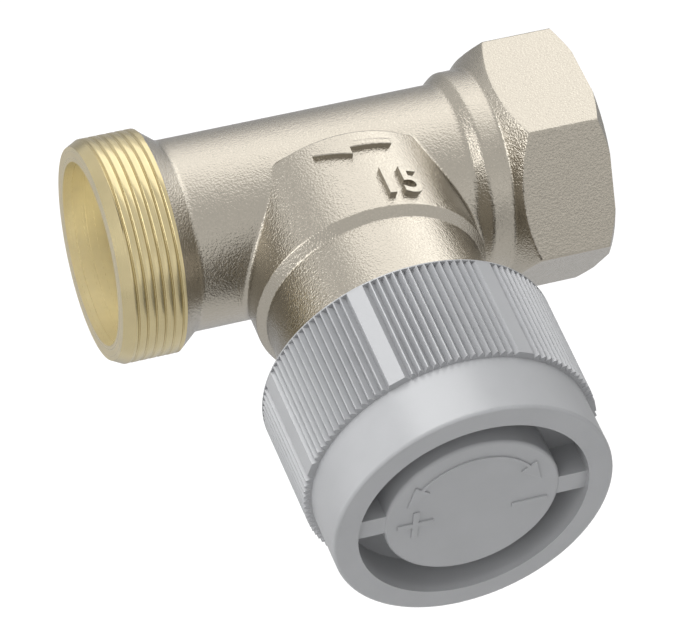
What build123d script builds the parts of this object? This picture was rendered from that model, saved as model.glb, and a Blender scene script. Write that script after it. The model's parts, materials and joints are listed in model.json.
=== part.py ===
"""Straight radiator valve: cast body, spring-loaded valve insert and screwed protective cap.

Millimetres. The origin is the centre of the inlet thread's mouth. +X leaves the inlet along the
flow line, -Y runs out along the neck to the cap, and +Z is up. Positions along the neck are given
as a reach: the distance from the flow line towards the cap, at the open position.
"""
import os
from math import cos, radians, sin, sqrt

from build123d import *

# Flow line: reaches are measured along X from the neck axis
INLET_REACH = 30.2
OUTLET_REACH = 29.3
TUBE_R = 11.3
PASSAGE_R = 8.0
CAST_ROUND = 1.2
CREASE_ROUND = 0.6

# Outlet with its outside thread, drawn as a plain cylinder at the thread's crest
OUTLET_THREAD_R = 13.22
OUTLET_THREAD_LENGTH = 7.5
OUTLET_CHAMFER = 0.65
OUTLET_CHAMFER_LENGTH = 1.3
OUTLET_NECKING = 2.4
OUTLET_SOCKET_R = 10.83
OUTLET_SOCKET_DEPTH = 6.5
SOCKET_SHOULDER = 1.6

# Inlet with its inside thread, drawn as a plain bore at the thread's crest, in a hexagon
INLET_THREAD_R = 9.3155
INLET_THREAD_LENGTH = 14.0
INLET_LEAD_IN = 0.4
HEX_ACROSS_FLATS = 27.0
HEX_LENGTH = 9.6
HEX_FACE_R = 13.9
HEX_FACE_CHAMFER = 1.15
HEX_EDGE_ROUND = 0.4
COLLAR_R = 12.4
COLLAR_LENGTH = 2.7
COLLAR_FLARE = 1.4
COLLAR_ROUND = 1.0
SKIRT_LENGTH = 2.2
SKIRT_ROUND = 0.6
SKIRT_EDGE_ROUND = 0.4

# Boss and neck of the body, about the neck axis
BOSS_R = 14.0
BOSS_FOOT_R = 10.0
BOSS_BACK = 2.4
BOSS_EDGE_ROUND = 0.4
BOSS_REACH = 14.5
SHOULDER_LENGTH = 1.1
SHOULDER_ROUND = 0.4
NECK_R = 13.07
NECK_TOP = 36.0
NECK_THREAD_R = 15.0
NECK_THREAD_LENGTH = 8.4
NECK_THREAD_CHAMFER = 0.8
NECK_BORE_R = 11.0
NECK_BORE_DEPTH = 19.0
CHAMBER_R = 10.4

# Seat between the two passages
SEAT_REACH = 4.0
SEAT_BORE_R = 6.0
SEAT_LIP = 1.2
SEAT_LIP_HEIGHT = 1.4
SEAT_WALL = 2.2
PASSAGE_WALL = 2.0

# Travel and fits
LIFT = 3.0
CLOSED_GAP = 0.1
THREAD_CLEARANCE = 0.05
RUNNING_CLEARANCE = 0.05
RING_CLEARANCE = 0.04
CAP_THREAD_CLEARANCE = 0.1

# Valve disc on the lower end of the stem
SEAL_R = 8.0
SEAL_THICKNESS = 2.0
SEAL_PROUD = 0.5
HOLDER_WALL = 0.9
HOLDER_PLATE = 1.5
HUB_R = 3.6
HUB_HEIGHT = 2.4
WASHER_R = 4.6
WASHER_THICKNESS = 1.2
NUT_ACROSS_FLATS = 5.5
NUT_HEIGHT = 2.2
SPIGOT_R = 1.5
SPIGOT_END = 0.4

# Stem, pressure pin and spring
STEM_R = 2.5
PIN_R = 1.5
PIN_COLLAR_R = 2.7
PIN_COLLAR_LENGTH = 1.5
PIN_STOP_GAP = 0.3
PIN_TIP_ROUND = 0.5
PLATE_R = 5.8
PLATE_THICKNESS = 1.0
PLATE_DROP = 1.9
CLIP_R = 3.7
CLIP_THICKNESS = 0.6
CLIP_GROOVE_R = 1.9
CLIP_SPAN = 290.0
SPRING_WIRE_R = 0.45
SPRING_R = 4.65
SPRING_TURNS = 4.5

# Insert body, its seals and the guide bush
BONNET_DEPTH = 18.0
BONNET_FLOOR = 2.5
BONNET_HEX_ACROSS_FLATS = 24.0
BONNET_HEX_HEIGHT = 2.0
SPRING_CHAMBER_R = 6.4
BONNET_RING_R = 0.9
BONNET_RING_DROP = 3.4
BUSH_R = 3.6
BUSH_FLANGE_R = 5.0
BUSH_FLANGE = 0.8

# Gland screw with its rings
GLAND_THREAD_R = 7.0
GLAND_DEPTH = 4.6
GLAND_HEX_ACROSS_FLATS = 13.0
GLAND_HEX_HEIGHT = 2.5
GLAND_RING_R = 0.6
GLAND_RING_DROP = 0.9
PIN_RING_R = 0.7
PIN_RING_DROPS = (3.6, 1.7)
WIPER_R = 3.2
WIPER_HEIGHT = 0.8

# Protective cap, one moulding
CAP_HEIGHT = 21.6
CAP_CLEARANCE = 0.8
CAP_FLOOR = 1.8
CAP_WALL = 1.4
CAP_DRAFT = 0.05
CAP_EDGE_ROUND = 0.4
RECESS_R = 13.575
RECESS_DEPTH = 4.9
DISC_R = 10.3
DISC_SINK = 0.6
DISC_THICKNESS = 2.2
DISC_EDGE_ROUND = 0.4
CUP_R = 8.3
BRIDGE_WIDTH = 2.8
BRIDGE_SINK = 0.15
GRIP_LENGTH = 14.1
GRIP_LIP = 0.15
GRIP_PROUD = 0.85
GRIP_TAPER = 0.1
GRIP_DEPTH = 0.75
GRIP_PADS = 7
GRIP_PAD_ANGLE = 6.4
GRIP_RIBS = 14
GRIP_CREST_ANGLE = 0.45

# Places and radii that follow from the sizes above
NECK_X = -INLET_REACH
HEX_CORNER_R = HEX_ACROSS_FLATS / sqrt(3)
SKIRT_START = INLET_REACH - HEX_LENGTH - SKIRT_LENGTH
SEAL_FACE = SEAT_REACH + CLOSED_GAP + LIFT
HOLDER_FACE = SEAL_FACE + SEAL_THICKNESS
HOLDER_TOP = HOLDER_FACE + HOLDER_PLATE
HUB_TOP = HOLDER_TOP + HUB_HEIGHT
WASHER_FACE = SEAL_FACE - WASHER_THICKNESS
NUT_FACE = WASHER_FACE - NUT_HEIGHT
BONNET_BOTTOM = NECK_TOP - BONNET_DEPTH
BONNET_TOP = NECK_TOP + BONNET_HEX_HEIGHT
BONNET_R = NECK_BORE_R - THREAD_CLEARANCE
SPRING_FLOOR = BONNET_BOTTOM + BONNET_FLOOR
GLAND_BOTTOM = BONNET_TOP - GLAND_DEPTH
GLAND_TOP = BONNET_TOP + GLAND_HEX_HEIGHT
GLAND_R = GLAND_THREAD_R - THREAD_CLEARANCE
PIN_FOOT = GLAND_BOTTOM - PIN_STOP_GAP - PIN_COLLAR_LENGTH
CLIP_TOP = PIN_FOOT - PLATE_DROP
PLATE_TOP = CLIP_TOP - CLIP_THICKNESS
PLATE_FACE = PLATE_TOP - PLATE_THICKNESS
CAP_UNDERSIDE = BONNET_TOP + LIFT + CAP_CLEARANCE
RECESS_FLOOR = CAP_UNDERSIDE + CAP_FLOOR
CAP_FRONT = RECESS_FLOOR + RECESS_DEPTH
CAP_RIM = CAP_FRONT - CAP_HEIGHT
DISC_FACE = CAP_FRONT - DISC_SINK
CUP_FACE = DISC_FACE - DISC_THICKNESS
CAP_BORE_R = NECK_THREAD_R + CAP_THREAD_CLEARANCE
CAP_STEP_R = CAP_BORE_R + CAP_WALL
CAP_FRONT_R = CAP_STEP_R - CAP_DRAFT
GRIP_FRONT_R = CAP_STEP_R + GRIP_PROUD
GRIP_RIM_R = GRIP_FRONT_R + GRIP_TAPER

FLOW_AXIS = Axis((NECK_X, 0, 0), (1, 0, 0))
NECK_AXIS = Axis((NECK_X, 0, 0), (0, -1, 0))
FLOW_PLANE = Plane(origin=(NECK_X, 0, 0), x_dir=(1, 0, 0), z_dir=(0, 0, 1))
NECK_PLANE = Plane(origin=(NECK_X, 0, 0), x_dir=(1, 0, 0), z_dir=(0, 0, -1))


def flow_turned(*points, radii=0):
    """Turn a closed outline of (reach along X, radius) points about the flow line."""
    outline = FilletPolyline(*points, radius=radii, close=True)
    return revolve(FLOW_PLANE * make_face(outline), FLOW_AXIS)


def neck_turned(*points, radii=0):
    """Turn a closed outline of (radius, reach) points about the neck axis."""
    outline = FilletPolyline(*points, radius=radii, close=True)
    return revolve(NECK_PLANE * make_face(outline), NECK_AXIS)


def neck_ring(inner_r, outer_r, low, high):
    """A plain ring about the neck axis between two reaches."""
    return neck_turned((inner_r, low), (outer_r, low), (outer_r, high), (inner_r, high))


def neck_disc(outer_r, low, high):
    """A plain disc about the neck axis between two reaches."""
    return neck_ring(0, outer_r, low, high)


def round_ring(centre_r, section_r, reach):
    """A ring of round section about the neck axis."""
    section = NECK_PLANE * Pos(centre_r, reach) * Circle(section_r)
    return revolve(section, NECK_AXIS)


def across_neck(reach):
    """The plane square to the neck at a reach: local x is X, local y is Z."""
    return Plane(origin=(NECK_X, -reach, 0), x_dir=(1, 0, 0), z_dir=(0, -1, 0))


def across_flow(reach):
    """The plane square to the flow line at a reach from the neck axis: local x is Y, local y is Z."""
    return Plane(origin=(NECK_X + reach, 0, 0), x_dir=(0, 1, 0), z_dir=(1, 0, 0))


def neck_hexagon(across_flats, low, high):
    """A hexagonal prism about the neck axis between two reaches."""
    return extrude(across_neck(low) * RegularPolygon(across_flats / 2, 6, major_radius=False), high - low)


def body_run():
    """The outside of the tube, from the outlet thread to the middle of the collar."""
    thread_end = -OUTLET_REACH + OUTLET_THREAD_LENGTH
    collar_start = SKIRT_START - COLLAR_LENGTH
    collar_middle = SKIRT_START - COLLAR_LENGTH / 2
    tube_end = collar_start - COLLAR_FLARE
    return flow_turned(
        (-OUTLET_REACH, 0),
        (-OUTLET_REACH, OUTLET_THREAD_R - OUTLET_CHAMFER),
        (-OUTLET_REACH + OUTLET_CHAMFER_LENGTH, OUTLET_THREAD_R),
        (thread_end, OUTLET_THREAD_R),
        (thread_end + OUTLET_NECKING, TUBE_R),
        (tube_end, TUBE_R),
        (collar_start, COLLAR_R),
        (collar_middle, COLLAR_R),
        (collar_middle, 0),
        radii=(0, 0, 0, 0, CAST_ROUND, CAST_ROUND, COLLAR_ROUND, 0, 0),
    )


def inlet_hexagon():
    """The hexagon round the inlet, turned down at both ends, with half of the collar."""
    start = SKIRT_START - COLLAR_LENGTH / 2
    outline = RegularPolygon(HEX_ACROSS_FLATS / 2, 6, major_radius=False)
    outline = fillet(outline.vertices(), HEX_EDGE_ROUND)
    prism = extrude(across_flow(start) * outline, INLET_REACH - start)
    turned = flow_turned(
        (start, 0),
        (start, COLLAR_R),
        (SKIRT_START, COLLAR_R),
        (INLET_REACH - HEX_LENGTH, HEX_CORNER_R),
        (INLET_REACH - HEX_FACE_CHAMFER, HEX_CORNER_R),
        (INLET_REACH, HEX_FACE_R),
        (INLET_REACH, 0),
        radii=(0, 0, SKIRT_ROUND, 0, 0, 0, 0),
    )
    hexagon = prism & turned
    skirt_edges = new_edges(prism, turned, combined=hexagon).filter_by_position(
        Axis.X, NECK_X + SKIRT_START, NECK_X + INLET_REACH - HEX_LENGTH
    )
    return fillet(skirt_edges, SKIRT_EDGE_ROUND)


def boss_and_neck():
    """The round boss that swells out of the tube, and the neck with the cap's thread."""
    shoulder_end = BOSS_REACH + SHOULDER_LENGTH
    thread_start = NECK_TOP - NECK_THREAD_LENGTH
    step = NECK_THREAD_R - NECK_R
    return neck_turned(
        (0, 0),
        (BOSS_FOOT_R, 0),
        (BOSS_R, BOSS_BACK),
        (BOSS_R, BOSS_REACH),
        (NECK_R, shoulder_end),
        (NECK_R, thread_start - step),
        (NECK_THREAD_R, thread_start),
        (NECK_THREAD_R, NECK_TOP - NECK_THREAD_CHAMFER),
        (NECK_THREAD_R - NECK_THREAD_CHAMFER, NECK_TOP),
        (0, NECK_TOP),
        radii=(0, 0, BOSS_EDGE_ROUND, SHOULDER_ROUND, SHOULDER_ROUND, 0, 0, 0, 0, 0),
    )


def outlet_way():
    """The outlet socket, its shoulder, and the passage that rises to the chamber above the seat."""
    socket_end = -OUTLET_REACH + OUTLET_SOCKET_DEPTH
    round_end = -(CHAMBER_R + PASSAGE_WALL)
    socket = flow_turned(
        (-OUTLET_REACH, 0),
        (-OUTLET_REACH, OUTLET_SOCKET_R),
        (socket_end, OUTLET_SOCKET_R),
        (socket_end + SOCKET_SHOULDER, PASSAGE_R),
        (round_end, PASSAGE_R),
        (round_end, 0),
    )
    floor = SEAT_REACH - SEAT_LIP_HEIGHT
    half = Circle(PASSAGE_R) & Pos(-floor - PASSAGE_R / 2, 0) * Rectangle(PASSAGE_R, 2 * PASSAGE_R)
    return socket + extrude(across_flow(round_end) * half, PASSAGE_WALL + CHAMBER_R - SEAT_BORE_R)


def inlet_way():
    """The threaded inlet, its passage, and the trough that runs below the seat."""
    thread_end = INLET_REACH - INLET_THREAD_LENGTH
    round_end = CHAMBER_R + PASSAGE_WALL
    trough_end = -(SEAT_BORE_R + PASSAGE_WALL / 2)
    way = flow_turned(
        (INLET_REACH, 0),
        (INLET_REACH, INLET_THREAD_R + INLET_LEAD_IN),
        (INLET_REACH - INLET_LEAD_IN, INLET_THREAD_R),
        (thread_end, INLET_THREAD_R),
        (thread_end - (INLET_THREAD_R - PASSAGE_R), PASSAGE_R),
        (round_end, PASSAGE_R),
        (round_end, 0),
    )
    roof = SEAT_REACH - SEAT_LIP_HEIGHT - SEAT_WALL
    half = Circle(PASSAGE_R) & Pos(PASSAGE_R - roof, 0) * Rectangle(2 * PASSAGE_R, 2 * PASSAGE_R)
    return way + extrude(across_flow(trough_end) * half, round_end - trough_end)


def neck_way():
    """The chamber above the seat, the bore of the seat with its raised lip, and the insert's bore."""
    bore_start = NECK_TOP - NECK_BORE_DEPTH
    floor = SEAT_REACH - SEAT_LIP_HEIGHT
    return neck_turned(
        (0, 0),
        (SEAT_BORE_R, 0),
        (SEAT_BORE_R, SEAT_REACH),
        (SEAT_BORE_R + SEAT_LIP, SEAT_REACH),
        (SEAT_BORE_R + SEAT_LIP, floor),
        (CHAMBER_R, floor),
        (CHAMBER_R, bore_start),
        (NECK_BORE_R, bore_start),
        (NECK_BORE_R, NECK_TOP),
        (0, NECK_TOP),
    )


def make_valve_body():
    """The one-piece cast body with its machined ways."""
    run = body_run()
    boss = boss_and_neck()
    blank = run + boss
    blank = fillet(new_edges(run, boss, combined=blank), CREASE_ROUND)
    return blank + inlet_hexagon() - outlet_way() - inlet_way() - neck_way()


def make_bonnet():
    """The insert body: screwed into the neck, it holds the spring, the bush and the gland screw."""
    ring_reach = BONNET_BOTTOM + BONNET_RING_DROP
    ring_half = BONNET_RING_R + RING_CLEARANCE
    groove_r = NECK_BORE_R - 2 * BONNET_RING_R - 2 * RING_CLEARANCE
    shank = neck_turned(
        (BUSH_R, BONNET_BOTTOM),
        (BONNET_R, BONNET_BOTTOM),
        (BONNET_R, ring_reach - ring_half),
        (groove_r, ring_reach - ring_half),
        (groove_r, ring_reach + ring_half),
        (BONNET_R, ring_reach + ring_half),
        (BONNET_R, NECK_TOP),
        (GLAND_THREAD_R, NECK_TOP),
        (GLAND_THREAD_R, GLAND_BOTTOM),
        (SPRING_CHAMBER_R, GLAND_BOTTOM),
        (SPRING_CHAMBER_R, SPRING_FLOOR),
        (BUSH_R, SPRING_FLOOR),
    )
    head = neck_hexagon(BONNET_HEX_ACROSS_FLATS, NECK_TOP, BONNET_TOP)
    return shank + (head - neck_disc(GLAND_THREAD_R, NECK_TOP, BONNET_TOP))


def make_bonnet_ring():
    """The ring that seals the insert in the neck."""
    centre_r = NECK_BORE_R - RING_CLEARANCE - BONNET_RING_R
    return round_ring(centre_r, BONNET_RING_R, BONNET_BOTTOM + BONNET_RING_DROP)


def make_guide_bush():
    """The flanged bush in the insert's floor, which guides the stem."""
    bore_r = STEM_R + RUNNING_CLEARANCE
    return neck_turned(
        (bore_r, BONNET_BOTTOM - BUSH_FLANGE),
        (BUSH_FLANGE_R, BONNET_BOTTOM - BUSH_FLANGE),
        (BUSH_FLANGE_R, BONNET_BOTTOM),
        (BUSH_R, BONNET_BOTTOM),
        (BUSH_R, SPRING_FLOOR),
        (bore_r, SPRING_FLOOR),
    )


def gland_ring_r():
    """The centre radius of the gland screw's outer ring."""
    return GLAND_THREAD_R - RING_CLEARANCE - GLAND_RING_R


def pin_ring_r():
    """The centre radius of the rings round the pressure pin."""
    return PIN_R + RING_CLEARANCE + PIN_RING_R


def make_gland_screw():
    """The gland screw, with inside grooves for the pin's rings and an outside groove for its own."""
    shank = neck_turned(
        (PIN_R + RUNNING_CLEARANCE, GLAND_BOTTOM),
        (GLAND_R, GLAND_BOTTOM),
        (GLAND_R, BONNET_TOP),
        (PIN_R + RUNNING_CLEARANCE, BONNET_TOP),
    )
    head = neck_hexagon(GLAND_HEX_ACROSS_FLATS, BONNET_TOP, GLAND_TOP)
    head -= neck_disc(PIN_R + RUNNING_CLEARANCE, BONNET_TOP, GLAND_TOP)
    head -= neck_disc(WIPER_R, GLAND_TOP - WIPER_HEIGHT, GLAND_TOP)
    gland = shank + head
    for drop in PIN_RING_DROPS:
        half = PIN_RING_R + RING_CLEARANCE
        groove_r = PIN_R + 2 * PIN_RING_R + 2 * RING_CLEARANCE
        gland -= neck_disc(groove_r, BONNET_TOP - drop - half, BONNET_TOP - drop + half)
    half = GLAND_RING_R + RING_CLEARANCE
    groove_r = gland_ring_r() - half
    groove = BONNET_TOP - GLAND_RING_DROP
    return gland - neck_ring(groove_r, GLAND_THREAD_R, groove - half, groove + half)


def make_gland_ring():
    """The ring that seals the gland screw in the insert."""
    return round_ring(gland_ring_r(), GLAND_RING_R, BONNET_TOP - GLAND_RING_DROP)


def make_pin_ring(drop):
    """One ring round the pressure pin, at a drop below the insert's top."""
    return round_ring(pin_ring_r(), PIN_RING_R, BONNET_TOP - drop)


def make_wiper_ring():
    """The flat ring at the gland's mouth that wipes the pin."""
    return neck_ring(PIN_R + RUNNING_CLEARANCE, WIPER_R, GLAND_TOP - WIPER_HEIGHT, GLAND_TOP)


def make_pressure_pin():
    """The pin that the cap pushes, with the collar that stops it under the gland screw."""
    collar_top = PIN_FOOT + PIN_COLLAR_LENGTH
    return neck_turned(
        (0, PIN_FOOT),
        (PIN_COLLAR_R, PIN_FOOT),
        (PIN_COLLAR_R, collar_top),
        (PIN_R, collar_top),
        (PIN_R, CUP_FACE),
        (0, CUP_FACE),
        radii=(0, 0, 0, 0, PIN_TIP_ROUND, 0),
    )


def make_stem():
    """The stem, with a clip groove near its top and a threaded spigot for the valve disc."""
    return neck_turned(
        (0, NUT_FACE - SPIGOT_END),
        (SPIGOT_R, NUT_FACE - SPIGOT_END),
        (SPIGOT_R, HUB_TOP),
        (STEM_R, HUB_TOP),
        (STEM_R, CLIP_TOP - CLIP_THICKNESS),
        (CLIP_GROOVE_R, CLIP_TOP - CLIP_THICKNESS),
        (CLIP_GROOVE_R, CLIP_TOP),
        (STEM_R, CLIP_TOP),
        (STEM_R, PIN_FOOT),
        (0, PIN_FOOT),
    )


def make_stem_clip():
    """The open clip in the stem's groove, which holds the spring plate."""
    section = Pos((CLIP_GROOVE_R + CLIP_R) / 2, CLIP_TOP - CLIP_THICKNESS / 2)
    section = NECK_PLANE * section * Rectangle(CLIP_R - CLIP_GROOVE_R, CLIP_THICKNESS)
    return revolve(section, NECK_AXIS, CLIP_SPAN)


def make_spring_plate():
    """The plate under the clip, which the spring lifts."""
    return neck_ring(STEM_R + RUNNING_CLEARANCE, PLATE_R, PLATE_FACE, PLATE_TOP)


def make_return_spring():
    """The coil spring between the insert's floor and the spring plate."""
    low = SPRING_FLOOR + SPRING_WIRE_R + RING_CLEARANCE
    height = PLATE_FACE - SPRING_WIRE_R - RING_CLEARANCE - low
    path = Helix(height / SPRING_TURNS, height, SPRING_R, center=(NECK_X, -low, 0), direction=(0, -1, 0))
    wire = Plane(origin=path @ 0, z_dir=path % 0) * Circle(SPRING_WIRE_R)
    return sweep(wire, path=path, is_frenet=True)


def make_disc_holder():
    """The cup that carries the valve disc, with its hub on the stem's spigot."""
    bore_r = SPIGOT_R + THREAD_CLEARANCE
    rim_r = SEAL_R + RING_CLEARANCE
    return neck_turned(
        (bore_r, HOLDER_FACE),
        (rim_r, HOLDER_FACE),
        (rim_r, SEAL_FACE + SEAL_PROUD),
        (rim_r + HOLDER_WALL, SEAL_FACE + SEAL_PROUD),
        (rim_r + HOLDER_WALL, HOLDER_TOP),
        (HUB_R, HOLDER_TOP),
        (HUB_R, HUB_TOP),
        (bore_r, HUB_TOP),
    )


def make_disc_seal():
    """The soft disc that closes on the seat."""
    return neck_ring(SPIGOT_R + THREAD_CLEARANCE, SEAL_R, SEAL_FACE, HOLDER_FACE)


def make_disc_washer():
    """The washer that holds the disc in its cup."""
    return neck_ring(SPIGOT_R + THREAD_CLEARANCE, WASHER_R, WASHER_FACE, SEAL_FACE)


def make_disc_nut():
    """The nut on the stem's spigot."""
    nut = neck_hexagon(NUT_ACROSS_FLATS, NUT_FACE, WASHER_FACE)
    return nut - neck_disc(SPIGOT_R + THREAD_CLEARANCE, NUT_FACE, WASHER_FACE)


def grip_outline(crest_r):
    """The cap's grip seen along the neck: flat pads with rows of narrow ribs between them."""
    root_r = crest_r - GRIP_DEPTH
    pitch = 360 / GRIP_PADS
    half_step = (pitch - GRIP_PAD_ANGLE) / (2 * (GRIP_RIBS + 1))
    points = []
    for pad in range(GRIP_PADS):
        pad_end = (pad + 0.5) * pitch + GRIP_PAD_ANGLE / 2
        corners = [(pad_end - GRIP_PAD_ANGLE, crest_r), (pad_end, crest_r)]
        for rib in range(GRIP_RIBS):
            crest = pad_end + (2 * rib + 2) * half_step
            corners.append((crest - half_step, root_r))
            corners.append((crest - GRIP_CREST_ANGLE / 2, crest_r))
            corners.append((crest + GRIP_CREST_ANGLE / 2, crest_r))
        corners.append((pad_end + (2 * GRIP_RIBS + 1) * half_step, root_r))
        points += [(r * sin(radians(angle)), r * cos(radians(angle))) for angle, r in corners]
    return make_face(Polyline(*points, close=True))


def make_protective_cap():
    """The moulded cap: ribbed grip, smooth front, and a disc on two bridges in a round recess."""
    grip_end = CAP_RIM + GRIP_LENGTH
    grip = loft(
        [
            across_neck(CAP_RIM + GRIP_LIP) * grip_outline(GRIP_RIM_R),
            across_neck(grip_end) * grip_outline(GRIP_FRONT_R),
        ],
        ruled=True,
    )
    lip = neck_disc(GRIP_RIM_R, CAP_RIM, CAP_RIM + GRIP_LIP)
    front = neck_turned(
        (0, CAP_RIM),
        (CAP_STEP_R, CAP_RIM),
        (CAP_FRONT_R, CAP_FRONT),
        (0, CAP_FRONT),
        radii=(0, 0, CAP_EDGE_ROUND, 0),
    )
    recess = neck_turned(
        (DISC_R, RECESS_FLOOR),
        (RECESS_R, RECESS_FLOOR),
        (RECESS_R, CAP_FRONT),
        (0, CAP_FRONT),
        (0, DISC_FACE),
        (DISC_R, DISC_FACE),
        radii=(0, 0, 0, 0, 0, DISC_EDGE_ROUND),
    )
    bridge_top = DISC_FACE - BRIDGE_SINK
    bar = Rectangle(2 * RECESS_R, BRIDGE_WIDTH) & (Circle(RECESS_R) - Circle(DISC_R - DISC_EDGE_ROUND))
    bridges = extrude(across_neck(RECESS_FLOOR) * bar, bridge_top - RECESS_FLOOR)
    hollow = neck_turned(
        (0, CAP_RIM),
        (CAP_BORE_R, CAP_RIM),
        (CAP_BORE_R, CAP_UNDERSIDE),
        (CUP_R, CAP_UNDERSIDE),
        (CUP_R, CUP_FACE),
        (0, CUP_FACE),
    )
    return grip + lip + front - recess + bridges - hollow


def make_parts():
    """Every piece of the valve by its name, in the open position."""
    parts = {
        "valve_body": make_valve_body(),
        "bonnet": make_bonnet(),
        "bonnet_o_ring": make_bonnet_ring(),
        "guide_bush": make_guide_bush(),
        "gland_screw": make_gland_screw(),
        "gland_o_ring": make_gland_ring(),
        "wiper_ring": make_wiper_ring(),
        "pressure_pin": make_pressure_pin(),
        "stem": make_stem(),
        "stem_clip": make_stem_clip(),
        "spring_plate": make_spring_plate(),
        "return_spring": make_return_spring(),
        "disc_holder": make_disc_holder(),
        "disc_seal": make_disc_seal(),
        "disc_washer": make_disc_washer(),
        "disc_nut": make_disc_nut(),
        "protective_cap": make_protective_cap(),
    }
    for name, drop in zip(("inner", "outer"), PIN_RING_DROPS):
        parts[f"pin_o_ring_{name}"] = make_pin_ring(drop)
    return parts


os.makedirs("parts", exist_ok=True)
for node, solid in make_parts().items():
    export_step(solid, f"parts/{node}.step")
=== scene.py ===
"""Looks of a straight radiator valve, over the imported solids: cast body, turned threads, moulded cap.

Metres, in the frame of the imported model: the origin is the centre of the inlet's mouth, +X leaves the
inlet along the flow line, -Y runs out along the neck to the cap, and +Z is up.
"""

import json
import logging
from contextlib import contextmanager
from dataclasses import dataclass, field
from enum import Enum
from math import cos, hypot, pi, radians, sin
from typing import Callable, Iterator, Sequence

import bmesh
import bpy
from mathutils import Matrix, Vector

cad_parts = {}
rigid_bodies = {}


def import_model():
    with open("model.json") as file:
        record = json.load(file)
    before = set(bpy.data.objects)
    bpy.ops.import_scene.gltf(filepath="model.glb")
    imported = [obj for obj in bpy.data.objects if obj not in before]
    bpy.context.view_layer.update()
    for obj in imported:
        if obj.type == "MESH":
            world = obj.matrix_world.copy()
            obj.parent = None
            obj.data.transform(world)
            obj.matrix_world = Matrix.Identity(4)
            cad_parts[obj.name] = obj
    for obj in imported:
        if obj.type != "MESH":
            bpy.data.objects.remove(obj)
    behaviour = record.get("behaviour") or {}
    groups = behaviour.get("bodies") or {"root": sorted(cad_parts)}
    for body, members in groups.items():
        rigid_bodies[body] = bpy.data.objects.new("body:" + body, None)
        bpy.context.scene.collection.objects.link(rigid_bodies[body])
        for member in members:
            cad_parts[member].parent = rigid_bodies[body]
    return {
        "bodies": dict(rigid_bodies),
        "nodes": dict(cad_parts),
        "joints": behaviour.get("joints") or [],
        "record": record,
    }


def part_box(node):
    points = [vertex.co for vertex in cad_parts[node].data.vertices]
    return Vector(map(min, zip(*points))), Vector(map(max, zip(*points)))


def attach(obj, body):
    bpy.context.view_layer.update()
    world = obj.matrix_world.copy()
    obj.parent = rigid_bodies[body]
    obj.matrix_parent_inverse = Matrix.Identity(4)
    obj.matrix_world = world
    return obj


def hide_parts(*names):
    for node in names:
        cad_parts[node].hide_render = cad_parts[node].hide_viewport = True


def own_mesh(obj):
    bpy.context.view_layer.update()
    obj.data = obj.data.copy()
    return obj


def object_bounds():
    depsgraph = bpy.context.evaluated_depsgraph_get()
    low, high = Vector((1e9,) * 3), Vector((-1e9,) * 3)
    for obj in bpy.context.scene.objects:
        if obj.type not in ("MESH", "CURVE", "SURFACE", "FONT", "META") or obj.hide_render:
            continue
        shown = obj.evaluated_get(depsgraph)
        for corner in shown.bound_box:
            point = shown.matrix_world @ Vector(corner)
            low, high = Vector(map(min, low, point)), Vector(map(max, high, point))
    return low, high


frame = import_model()
CAD_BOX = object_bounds()

LOG = logging.getLogger("radiator_valve")
MM = 0.001
MICRON = 1e-6
ON_SURFACE = 5 * MICRON
SMOOTH_ANGLE = radians(28)
EDGE_SEGMENTS = 2
NOISE_ROUGHNESS = 0.6
NOISE_LOW, NOISE_HIGH = 0.3, 0.7
WHITE = (1, 1, 1, 1)
BLACK = (0, 0, 0, 1)

Colour = tuple[float, float, float]
Place = tuple[float, float, float]
Turn = tuple[float, float, float]
Point = tuple[float, float]
Pair = tuple[float, float]
EdgeTest = Callable[[bmesh.types.BMEdge], bool]
FaceTest = Callable[[bmesh.types.BMFace], bool]


class SelectMode(Enum):
    """What a selection in edit mode is made of."""

    VERTICES = "VERT"
    EDGES = "EDGE"


class TurningAxis(Enum):
    """The line that a turned piece was cut about."""

    FLOW = "flow line"
    NECK = "neck axis"


class LampRole(Enum):
    """What a lamp does: light the matt surfaces, or show as a highlight in the polished ones."""

    FILL = "fill"
    HIGHLIGHT = "highlight"


class BodySkin(Enum):
    """The finishes of the body, by material slot; the slots for the bores and the outlet's end face
    hold lighter copies of the turned brass: painted light.
    """

    CAST = 0
    TURNED = 1
    # Painted light: the next two slots are lighter copies of the turned brass, for the bores and the
    # outlet's end face.
    BORED = 2
    FACED = 3


@dataclass(frozen=True)
class Layout:
    """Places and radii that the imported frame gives.

    Args:
        neck_x: X of the neck axis.
        outlet_x: X of the outlet's end face.
        outlet_thread_r: crest radius of the outlet's outside thread.
        outlet_socket_r: radius of the smooth socket in the outlet.
        inlet_thread_r: crest radius of the inlet's inside thread.
        disc_face_y: Y of the face of the cap's disc.
    """

    neck_x: float
    outlet_x: float
    outlet_thread_r: float
    outlet_socket_r: float
    inlet_thread_r: float
    disc_face_y: float

    @classmethod
    def from_frame(cls, packed: dict) -> "Layout":
        """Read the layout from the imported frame.


        Returns:
            The layout in metres.
        """
        radius = {mount["name"]: mount["dims"]["r_mm"] * MM for mount in packed["record"]["mounts"]}
        joints = {joint["name"]: joint for joint in packed["joints"]}
        disc_sink = 0.6 * MM
        return cls(
            neck_x=joints["cap_turn"]["pos_m"][0],
            outlet_x=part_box("valve_body")[0].x,
            outlet_thread_r=radius["outlet_thread"],
            outlet_socket_r=radius["outlet_socket"],
            inlet_thread_r=radius["inlet_thread"],
            disc_face_y=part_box("protective_cap")[0].y + disc_sink,
        )


def select_only(piece: bpy.types.Object) -> None:
    """Deselect everything, then select one piece and make it active.

    Args:
        piece: the piece to work on.
    """
    bpy.ops.object.select_all(action="DESELECT")
    piece.select_set(True)
    bpy.context.view_layer.objects.active = piece


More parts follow.
